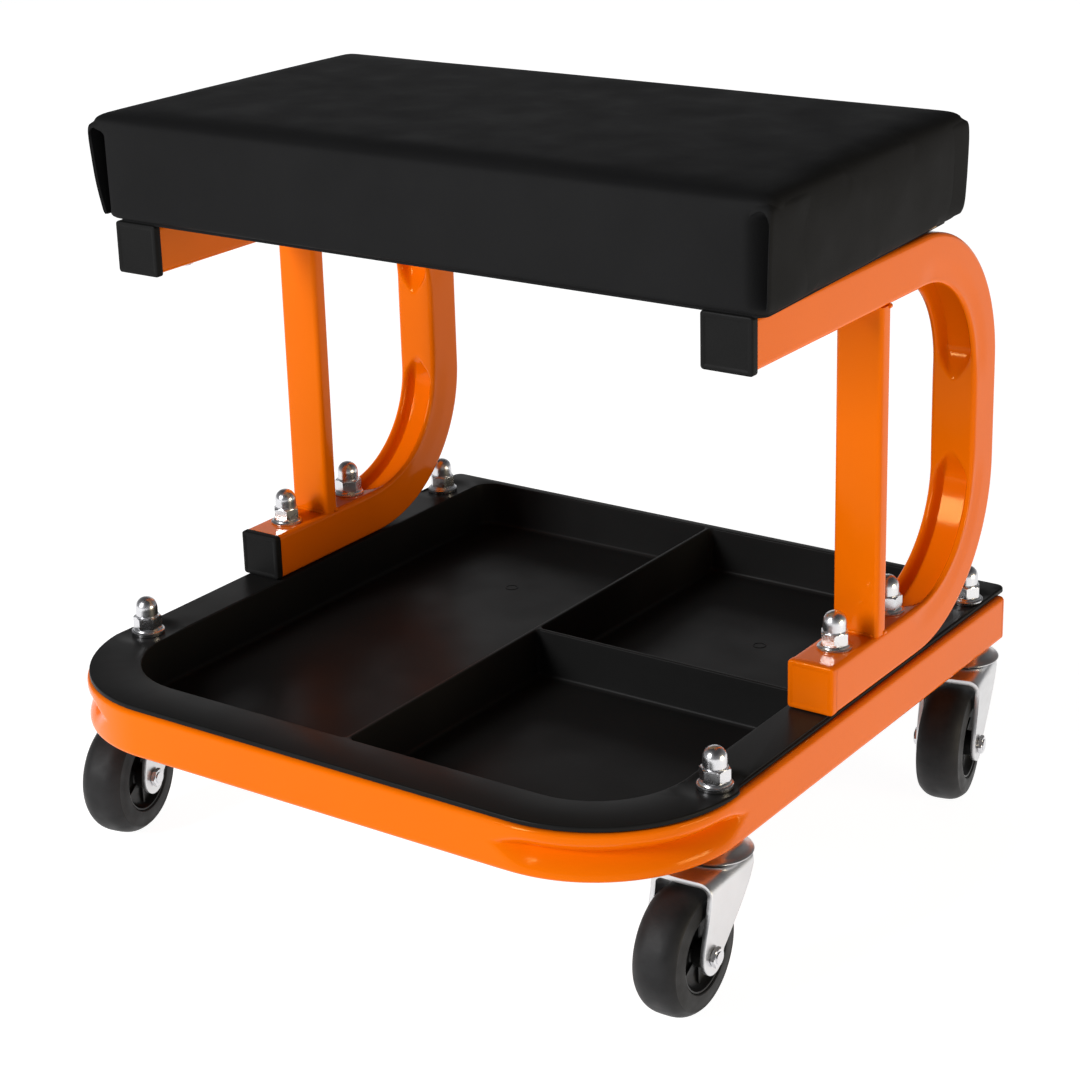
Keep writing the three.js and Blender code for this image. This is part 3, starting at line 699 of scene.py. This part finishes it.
def pan_head(shank):
    profile = [(0, -2.1), (1.4, -2.1), (1.5, -3.35)]
    profile += [(2.4, -3.4), (3.6, -3.15), (4.8, -2.4), (5.6, -1.3), (6, -0.3), (6, 0), (0, 0)]
    return [lathe(profile, 32), lathe([(0, -0.5), (3, -0.5), (3, shank), (0, shank)], 20)]


def build_fasteners():
    def zinc_piece(name, parts, node):
        piece(name, parts, BRIGHT_ZINC, "chassis", [node], 30)

    for side, sign in SIDES.items():
        for end in ENDS:
            where = f"{side}_{end}"
            low, high = box_mm("foot_bolt_" + where)
            x, y = (low[0] + high[0]) / 2, (low[1] + high[1]) / 2
            head = [moved(p, offset=(x, y, BASE_BOTTOM - 0.3)) for p in hex_head(13, 5.3, 4, 40)]
            zinc_piece("hex_bolt_" + where, head, "foot_bolt_" + where)
            low, high = box_mm("foot_nut_" + where)
            twist = Matrix.Rotation(sign * 0.4 + y * 0.01, 3, "Z")
            nut = [moved(p, twist, (x, y, low[2])) for p in domed_nut(-0.3)]
            zinc_piece("domed_nut_" + where, nut, "foot_nut_" + where)
            low, high = box_mm("seat_screw_" + where)
            x, y = (low[0] + high[0]) / 2, (low[1] + high[1]) / 2
            screw = [moved(p, offset=(x, y, SIDE_TOP - TUBE - 0.1)) for p in pan_head(TUBE + 8)]
            zinc_piece("pan_screw_" + where, screw, "seat_screw_" + where)


# ---- casters

FORK_INSIDE, FORK_SHEET = 13.5, 2.4  # from the middle to a leg, and the leg's thickness
FORK_HALF = FORK_INSIDE + FORK_SHEET / 2
CROWN_Z = -6.6
AXLE_HEAD = 8.6  # across flats


def race_dish():
    outer = [(11.3, 0.25), (12.4, 0.0), (13.3, -0.7), (14.9, -2.3), (16.7, -3.5)]
    outer += [(17.7, -3.9), (18, -4.3), (17.8, -4.8), (17.3, -4.95)]
    inner = [(16.3, -4.6), (14.7, -3.6), (13, -3.0), (11.5, -2.9), (4.3, -2.9), (4.3, 0.25)]
    return lathe(outer + inner, 56)


def stem_parts():
    head = -8.1
    profile = [(0, head - 3), (5.5, head - 3), (6.6, head - 2.5), (7.4, head - 1.3), (7.5, head)]
    profile += [(4, head), (4, 30), (0, 30)]
    return [lathe(profile, 32)]


def fork_sheet():
    """The fork's middle surface: a U of sheet metal, as a grid from the front edge to the rear edge."""
    drop, foot, radius, tail = 41.75, 9.0, 5.0, 17.0
    bottom = -drop - foot
    half, top = FORK_HALF, CROWN_Z

    rear_zs = [-drop - 6, -drop, -36, -30, -24, -18, -12, top]
    rear_ys = [-24, -20.5, -14.2, -7.2, -1.2, 4.0, 7.6, 9.2]

    def edges(z):
        """Front and rear y of a leg at height z."""
        circle = math.sqrt(max(foot**2 - (z + drop) ** 2, 0))
        front_lean = -TRAIL - foot + (foot - 1.5) * float(smoothstep(z, -drop, top - 2))
        rear_line = np.interp(z, rear_zs, rear_ys)
        if z <= -drop:
            return -TRAIL - circle, -TRAIL + min(circle * 1.02, rear_line + TRAIL)
        return front_lean, float(rear_line)

    rows = []
    zs = [bottom + foot * (1 - math.cos(t)) for t in np.linspace(0, math.pi / 2, 9)]
    zs[0] += 0.05
    zs += list(np.linspace(-drop, top - radius, 12)[1:])
    path = [(half, z) for z in zs]
    path += arc(half - radius, top - radius, radius, 0, 90, 6)[1:]
    path += [(x, top) for x in np.linspace(half - radius, -half + radius, 13)[1:]]
    path += [(-x, z) for x, z in reversed(path[: len(zs) + 6])][1:]
    columns = 22
    for x, z in path:
        y0, y1 = edges(min(z, top - radius))
        if z >= top - radius:
            out = abs(x) / half
            y0 -= math.sqrt(max(1 - out, 0))
            y1 = tail - (tail - y1) * out**2.6
        for k in range(columns + 1):
            y = y0 + (y1 - y0) * k / columns
            height = z
            if z > top - 0.01:
                r = math.hypot(x, y)
                height += 1.5 * (1 - float(smoothstep(r, 10.5, 14)))
            rows.append((x, y, height))
    width = columns + 1
    faces = []
    for i in range(len(path) - 1):
        for k in range(columns):
            a = i * width + k
            faces.append((a, a + 1, a + 1 + width, a + width))
    return np.array(rows), faces


def tyre_profile():
    points = []
    for t in np.linspace(-1, 1, 21):
        x = t * 10.6
        points.append((WHEEL_R - 3.4 * abs(t) ** 3.2, x))
    shoulder = [(27.3, 11.1), (26.9, 11.25), (26.6, 11.2), (23.5, 11.75), (20.6, 12.0)]
    shoulder += [(19.3, 11.9), (18.8, 11.3), (18.8, 8)]
    left = [(r, -x) for r, x in reversed(shoulder)]
    return left + points + shoulder


def hub_profile():
    right = [(3.3, 13.1), (6.0, 13.1), (6.5, 12.6), (6.7, 7.4), (7.4, 6.9), (11, 6.6)]
    right += [(14.5, 7.0), (16.2, 8.2), (17.2, 10.2), (17.6, 11.0), (18.3, 11.2), (18.8, 10.8)]
    left = [(r, -x) for r, x in reversed(right)]
    return right + left


def along_x(part):
    turn = Matrix(((0, 0, 1), (0, 1, 0), (-1, 0, 0)))
    return moved(part, turn)


def hub_ribs():
    parts = []
    for k in range(6):
        angle = k * math.pi / 3
        for sign in (-1, 1):
            profile = np.array([(6.0, -0.8), (17.4, -0.8), (17.4, 0.8), (6.0, 0.8)])
            c, s = math.cos(angle), math.sin(angle)
            ring = profile @ np.array([(c, s), (-s, c)])
            inner = at_height(ring, sign * 6.0)
            outer = at_height(ring, sign * 8.1)
            parts.append(along_x(loft([inner, outer])))
    return parts


def build_caster(side, end, sign):
    name = f"{end}_{side}"
    fork, wheel = "fork_" + name, "wheel_" + name
    turn = Matrix.Rotation(math.radians(SWIVEL[name]), 3, "Z")
    stem = np.array([sign * STEM_X, STEM_YS[end], BASE_BOTTOM])
    dish = [moved(race_dish(), offset=stem)]
    piece("race_dish_" + name, dish, FORK_ZINC, "chassis", ["swivel_race_" + name], 38)
    bolt = [moved(p, offset=stem) for p in stem_parts()]
    piece("stem_bolt_" + name, bolt, BRIGHT_ZINC, "chassis", ["stem_" + name], 38)
    low, _ = box_mm("stem_nut_" + name)
    twist = Matrix.Rotation(0.35 * sign + (0.5 if end == "front" else 0.1), 3, "Z")
    nut = [moved(p, twist, (stem[0], stem[1], low[2])) for p in domed_nut(-1.3)]
    piece("stem_domed_nut_" + name, nut, BRIGHT_ZINC, "chassis", ["stem_nut_" + name], 30)

    plate = moved(fork_sheet(), turn, stem)
    sheet = piece("fork_plate_" + name, [plate], FORK_ZINC, fork, [fork], 60)
    solid = sheet.modifiers.new("thickness", "SOLIDIFY")
    solid.thickness = FORK_SHEET * MM
    solid.offset = 0
    solid.use_even_offset = True
    soft = sheet.modifiers.new("edges", "BEVEL")
    soft.width = 0.55 * MM
    soft.segments = 2
    soft.limit_method = "ANGLE"
    soft.angle_limit = math.radians(50)

    axle = stem + np.array(turn @ Vector((0, -TRAIL, 0))) + np.array([0, 0, AXLE_Z - BASE_BOTTOM])
    tyre = [moved(along_x(lathe(tyre_profile(), 84)), turn, axle)]
    piece("tyre_ring_" + name, tyre, RUBBER, wheel, ["tyre_" + name], 30)
    hub = [moved(along_x(lathe(hub_profile(), 56)), turn, axle)]
    hub += [moved(p, turn, axle) for p in hub_ribs()]
    piece("hub_disc_" + name, hub, HUB_BLACK, wheel, ["hub_" + name], 30)
    outside = FORK_INSIDE + FORK_SHEET + 0.2
    bolt = [moved(p, offset=(0, 0, -outside)) for p in hex_head(AXLE_HEAD, 2.4, 3, 2 * outside + 2.9)]
    bolt = [moved(along_x(p), turn, axle) for p in bolt]
    piece("axle_hex_bolt_" + name, bolt, BRIGHT_ZINC, fork, ["axle_bolt_" + name], 30)
    rows = [0, 0.3, 0.7, 1.3, 1.9, 2.1, 2.4]
    nut = loft(hex_rows(AXLE_HEAD, [outside + z for z in rows], 1.9, 4))
    nut = [moved(along_x(nut), turn, axle)]
    piece("axle_hex_nut_" + name, nut, BRIGHT_ZINC, fork, ["axle_nut_" + name], 30)


def build_casters():
    for side, sign in SIDES.items():
        for end in ENDS:
            build_caster(side, end, sign)


# ---- seat


LEAN = {"left": 7.0, "right": 2.0}  # how far each end of the pad leans in towards the board
TAPER = {"left": 3.0, "right": 10.0}  # how much nearer the middle each end is at the back
PAD_CORNER = 6.0


def pad_outline(inset, share, corner, steps=6):
    """The pad's outline, inset, at a share of its height below the top."""
    x0 = seat_low[0] + 0.8 + inset + LEAN["left"] * share
    x1 = seat_high[0] - 0.8 - inset - LEAN["right"] * share
    y0, y1 = seat_low[1] + 1.0 + inset, seat_high[1] - 1.0 - inset
    outline = rounded(x0, y0, x1, y1, [max(corner - inset, 1.5)] * 4, steps)
    back = (outline[:, 1] - y0) / (y1 - y0)
    pull = np.where(outline[:, 0] > 0, -TAPER["right"], TAPER["left"])
    outline[:, 0] += pull * back * np.abs(outline[:, 0]) / x1
    return outline


def cushion_start():
    """The pad before it is inflated: leaning ends and a small top radius, a little inside the CAD solid."""
    low, high = seat_low[2] + 0.3, seat_high[2] - 0.9
    profile = [(2.0, low), (0.6, low + 0.6), (0, low + 2.0)]
    profile += [(0, z) for z in np.linspace(low + 6, high - 9, 8)]
    radius = 4.5
    profile += [(radius - r, z) for r, z in arc(0, high - radius, radius, 0, 90, 4)]
    return loft([at_height(pad_outline(i, (high - z) / (high - low), PAD_CORNER), z) for i, z in profile])


def applied(obj):
    """The object's mesh with its modifiers applied, as a new mesh."""
    depsgraph = bpy.context.evaluated_depsgraph_get()
    return bpy.data.meshes.new_from_object(obj.evaluated_get(depsgraph))


def mesh_points(mesh):
    points = np.zeros(len(mesh.vertices) * 3)
    mesh.vertices.foreach_get("co", points)
    return points.reshape(-1, 3)


def set_points(mesh, points):
    mesh.vertices.foreach_set("co", points.ravel())
    mesh.update()


def inflate(obj, frames=16, cap=2.2):
    """Cloth under pressure: the bottom is held, and no point moves further than cap (mm)."""
    mesh = obj.data
    rest = mesh_points(mesh)
    held = obj.vertex_groups.new(name="held")
    held.add([i for i, p in enumerate(rest) if p[2] < (seat_low[2] + 5) * MM], 1.0, "REPLACE")
    cloth = obj.modifiers.new("cloth", "CLOTH")
    settings = cloth.settings
    settings.quality = 6
    settings.mass = 0.3
    settings.tension_stiffness = settings.compression_stiffness = 25
    settings.shear_stiffness = 12
    settings.bending_stiffness = 2.5
    settings.use_pressure = True
    settings.uniform_pressure_force = 1.0
    settings.vertex_group_mass = "held"
    settings.effector_weights.gravity = 0
    cloth.collision_settings.use_collision = False
    scene = bpy.context.scene
    for step in range(1, frames + 1):
        scene.frame_set(step)
    swollen = mesh_points(applied(obj))
    obj.modifiers.remove(cloth)
    scene.frame_set(1)
    move = swollen - rest
    length = np.linalg.norm(move, axis=1, keepdims=True)
    cap_m = cap * MM
    move *= np.where(length > 1e-9, cap_m * np.tanh(length / cap_m) / np.maximum(length, 1e-9), 1)
    set_points(mesh, rest + move)


def drag_folds(points):
    """Faint creases of a pulled cover, on the sides more than on the top (metres)."""
    moved_points = points.copy()
    top = seat_high[2] * MM
    for i, p in enumerate(points):
        down = max(0.0, min(1.0, (top - p[2]) / (30 * MM)))
        wave = noise.noise(Vector((p[0] * 9, p[1] * 9, p[2] * 26)))
        fine = noise.noise(Vector((p[0] * 30, p[1] * 30, p[2] * 10 + 7)))
        amount = (0.32 * wave + 0.10 * fine) * MM * (0.35 + 0.65 * down)
        out = Vector((p[0] / 0.19, p[1] / 0.10, 0))
        if down > 0.1 and out.length > 0:
            out.normalize()
            moved_points[i] += np.array(out) * amount
        else:
            moved_points[i][2] += amount * 0.6
    return moved_points


def sink_corners(points):
    """Below the arch of each folded corner the cover dips behind the fold's free edge (metres)."""
    x, y, z = (points / MM).T
    end = np.where(x > 0, seat_high[0] - x, x - seat_low[0]) - 3
    middle = (seat_low[1] + seat_high[1]) / 2
    face = np.minimum(y - seat_low[1], seat_high[1] - y)
    dip = 9.5 * (1 - smoothstep(end, 0, 12)) * (1 - smoothstep(face, 2, 18))
    dip *= (1 - smoothstep(z, ARCH_Z - 5, ARCH_Z - 0.5)) * smoothstep(z, seat_low[2] - 2, seat_low[2] + 8)
    points[:, 1] += np.sign(middle - y) * dip * MM
    return points


def build_cushion():
    obj = piece("seat_pad", [cushion_start()], VINYL, "chassis", ["seat_cushion"], 80)
    remesh = obj.modifiers.new("remesh", "REMESH")
    remesh.mode = "VOXEL"
    remesh.voxel_size = 3.2 * MM
    new = applied(obj)
    obj.modifiers.clear()
    obj.data = new
    inflate(obj)
    smooth = obj.modifiers.new("smooth", "SMOOTH")
    smooth.factor = 0.5
    smooth.iterations = 2
    subdivide = obj.modifiers.new("subdivide", "SUBSURF")
    subdivide.levels = subdivide.render_levels = 1
    new = applied(obj)
    obj.modifiers.clear()
    obj.data = new
    points = sink_corners(drag_folds(mesh_points(new)))
    set_points(new, np.clip(points, (seat_low - 2) * MM, (seat_high + 3) * MM))
    new.shade_smooth()
    if not new.materials:
        new.materials.append(VINYL)
    return obj


# The arch over each folded corner: the height of its top, and its line (s, z) measured from there.
ARCH_Z = seat_high[2] - 7.0
ARCH = [(-15, -7), (-12, -4.2), (-9, -1.8), (-6.5, -0.5), (-4.5, 0)]
ARCH += [(-2.8, -0.7), (-1.4, -2.6), (-0.4, -5.5), (0, -9)]


def dense(loop, step):
    """The loop with points added so that none are further apart than step."""
    points = []
    for a, b in zip(loop, loop[1:] + loop[:1]):
        count = max(1, math.ceil(math.dist(a, b) / step))
        points.extend(np.linspace(a, b, count, endpoint=False))
    return np.array(points)


def fold_point(tree, sign, facing, s, z):
    """Where the folded cover lies: s runs round the corner from the long face (negative) to the end face."""

    def cast(a, b, na, nb):
        origin = Vector((sign * (a + 30 * na), facing * (b + 30 * nb), z)) * MM
        hit, *_ = tree.ray_cast(origin, Vector((-sign * na, -facing * nb, 0)))
        return None if hit is None else (sign * hit.x / MM, facing * hit.y / MM)

    a_guess = seat_high[0] - 12
    b_guess = facing * (seat_low[1] if facing < 0 else seat_high[1])
    end_face = cast(a_guess, b_guess - 15, 1, 0)
    long_face = cast(a_guess - 16, b_guess, 0, 1)
    if end_face is None or long_face is None:
        return None
    a1, b1, radius = end_face[0] + 0.3, long_face[1] + 0.3, 2.0
    quarter = math.pi / 4 * radius
    angle = math.pi / 4 * (1 - max(-1.0, min(1.0, s / quarter)))
    na, nb = math.cos(angle), math.sin(angle)
    a = a1 - radius + radius * na - max(0.0, -s - quarter)
    b = b1 - radius + radius * nb - max(0.0, s - quarter)
    under = cast(a, b, na, nb) or (a, b)
    free = 1 - float(smoothstep(z, ARCH_Z + 0.3, ARCH_Z + 3.5))
    free *= 1 - float(smoothstep(s, 14, 48))
    free *= 1 - float(smoothstep(-s, 5, 14))
    a = a * free + (under[0] - 0.5 * na) * (1 - free)
    b = b * free + (under[1] - 0.5 * nb) * (1 - free)
    return np.array([sign * a, facing * b, z]), np.array([sign * na, facing * nb, 0])


def build_corner_folds(pad):
    """At each upright corner the cover folds over itself: a free edge under a small arch."""
    tree = BVHTree.FromObject(pad, bpy.context.evaluated_depsgraph_get())
    low = seat_low[2] + 3.0
    loop = [(0.0, low), (52.0, low), (52.0, ARCH_Z + 4), (-16.5, ARCH_Z + 4), (-16.5, ARCH_Z - 7)]
    outline = dense(loop + [(s, ARCH_Z + z) for s, z in ARCH], 1.0)
    grid = [(s, z) for s in np.arange(-15.8, 51.5, 1.4) for z in np.arange(low + 0.8, ARCH_Z + 3.5, 1.4)]
    flat, faces = flat_with_holes(outline, [], 0.0, grid)
    for side, sign in SIDES.items():
        for end, facing in (("front", -1), ("rear", 1)):
            outer, inner, last = [], [], None
            for s, z, _ in flat:
                last = fold_point(tree, sign, facing, s, z) or last
                outer.append(last[0])
                inner.append(last[0] - 1.5 * last[1])
            count = len(outer)
            sheet = [*faces, *(tuple(i + count for i in reversed(f)) for f in faces)]
            used = {}
            for face in faces:
                for a, b in zip(face, face[1:] + face[:1]):
                    key = (min(a, b), max(a, b))
                    used[key] = used.get(key, 0) + 1
            sheet += [(a, b, b + count, a + count) for (a, b), times in used.items() if times == 1]
            piece(f"cover_fold_{end}_{side}", [(outer + inner, sheet)], VINYL, "chassis", (), 40)


def build_board():
    x1, y0, y1 = board_high[0], board_low[1], board_high[1]
    bottom, top = board_low[2] + 0.9, board_high[2]
    rings = []
    for back, z in ((0.8, bottom), (0.2, bottom + 0.2), (0, bottom + 0.8), (0, top)):
        rings.append(at_height(rounded(-x1 + back, y0 + back, x1 - back, y1 - back, [8 - back] * 4, 6), z))
    piece("plywood_board", [loft(rings)], PLYWOOD, "chassis", ["seat_board"], 40)


def build_hem():
    """The cover's edge, turned in under the board."""
    under = board_low[2]
    profile = [(5, seat_low[2] + 2.2), (5, under + 0.25), (30, under + 0.15)]
    profile += [(31.5, under + 0.5), (31.5, under + 1.9)]
    rings = []
    for back, z in profile:
        ring = pad_outline(back, 1.0, 6 + back, 8)
        if back > 20:
            wave = [1.3 * noise.noise(Vector((p[0] * 0.06, p[1] * 0.06, 1.7))) for p in ring]
            ring = ring * (1 + np.array(wave)[:, None] / 200)
        rings.append(at_height(ring, z))
    rings.append(rings[0])
    piece("cover_hem", [loft(rings, False, False)], VINYL, "chassis", (), 40)


def build_staples():
    staples = []
    z, half = board_low[2] + 0.15, 5.0
    x_line, y_front, y_back = seat_high[0] - 24, seat_low[1] + 24, seat_high[1] - 24
    spots = [(x, y, 0) for x in np.linspace(-150, 150, 11) for y in (y_front, y_back)]
    ys = np.linspace(seat_low[1] + 45, seat_high[1] - 45, 5)
    spots += [(sx * x_line, y, 1) for sx in (-1, 1) for y in ys]
    for x, y, upright in spots:
        if abs(abs(x) - SIDE_X) < 13.5:
            continue
        ends = [(x, y - half), (x, y + half)] if upright else [(x - half, y), (x + half, y)]
        line = [(*ends[0], z + 1.2), (*ends[0], z + 0.1), (*ends[1], z + 0.1), (*ends[1], z + 1.2)]
        staples.append(rod(line, [0.45] * 4, 6))
    piece("cover_staples", staples, BRIGHT_ZINC, "chassis", (), 40)


# ---- stage


def build_stage():
    mesh = bpy.data.meshes.new("floor")
    far = 9.0
    mesh.from_pydata([(-far, -far, 0), (far, -far, 0), (far, far, 0), (-far, far, 0)], [], [(0, 1, 2, 3)])
    floor = bpy.data.objects.new("floor", mesh)
    floor.location.z = -0.0005
    bpy.context.scene.collection.objects.link(floor)
    glow = {"Emission_Color": (1, 1, 1, 1), "Emission_Strength": 0.95}
    m = Nodes("pale_floor", Roughness=0.85, Specular_IOR_Level=0.1, **glow)
    color = m.ramp(m.noise(3, 2), [(0.3, (0.34, 0.34, 0.34)), (0.7, (0.37, 0.37, 0.37))])
    mesh.materials.append(m.finish(color))


def area_light(name, place, target, size, power, color=(1, 1, 1)):
    data = bpy.data.lights.new(name, "AREA")
    data.shape = "RECTANGLE"
    data.size, data.size_y = size
    data.energy = power
    data.color = color
    light = bpy.data.objects.new(name, data)
    light.location = place
    light.rotation_mode = "QUATERNION"
    light.rotation_quaternion = (Vector(place) - Vector(target)).to_track_quat("Z", "Y")
    bpy.context.scene.collection.objects.link(light)


def build_light():
    """A warm panel low on the right, a bright one at the front left, a faint one behind, and a surround
    that darkens overhead."""
    scene = bpy.context.scene
    world = bpy.data.worlds.new("studio")
    scene.world = world
    world.use_nodes = True
    tree = world.node_tree
    background = tree.nodes["Background"]
    background.inputs["Color"].default_value = (0.96, 0.97, 1.0, 1)
    split = tree.nodes.new("ShaderNodeSeparateXYZ")
    tree.links.new(tree.nodes.new("ShaderNodeTexCoord").outputs["Generated"], split.inputs["Vector"])
    fade = tree.nodes.new("ShaderNodeMapRange")
    tree.links.new(split.outputs["Z"], fade.inputs["Value"])
    fade.inputs["From Min"].default_value = 0.05
    fade.inputs["From Max"].default_value = 0.75
    fade.inputs["To Min"].default_value = 0.26
    fade.inputs["To Max"].default_value = 0.06
    tree.links.new(fade.outputs["Result"], background.inputs["Strength"])
    area_light("right_panel", (1.9, 0.2, 0.25), (0, 0, 0.12), (0.8, 0.4), 13, (1.0, 0.86, 0.62))
    area_light("front_panel", (-0.9, -2.3, 1.3), (0, 0, 0.15), (0.6, 1.1), 60)
    area_light("back_panel", (-1.5, 2.1, 0.85), (0, 0, 0.2), (1.6, 0.9), 2.6)
    scene.view_settings.view_transform = "Standard"


def build_camera():
    yaw, pitch, roll = (math.radians(v) for v in (35.2266, 18.7199, -1.6282))
    back = Vector((math.sin(yaw) * math.cos(pitch), -math.cos(yaw) * math.cos(pitch), math.sin(pitch)))
    right = Vector((math.cos(yaw), math.sin(yaw), 0))
    up = back.cross(right)
    tilted_right = math.cos(roll) * right + math.sin(roll) * up
    tilted_up = -math.sin(roll) * right + math.cos(roll) * up
    data = bpy.data.cameras.new("camera")
    data.sensor_width = 36
    data.lens = 84.39667
    data.shift_y = -0.08
    data.clip_start, data.clip_end = 0.05, 50
    camera = bpy.data.objects.new("camera", data)
    aim, distance = Vector((0.00778, 0, 0.19981)), 1.2949
    axes = Matrix((tilted_right, tilted_up, back)).transposed()
    camera.matrix_world = Matrix.Translation(aim + back * distance) @ axes.to_4x4()
    bpy.context.scene.collection.objects.link(camera)
    bpy.context.scene.camera = camera


build_camera()
build_light()
build_stage()
build_base()
build_side_frames()
build_posts()
build_plugs()
build_tray()
build_fasteners()
build_casters()
cushion = build_cushion()
build_corner_folds(cushion)
build_board()
build_hem()
build_staples()
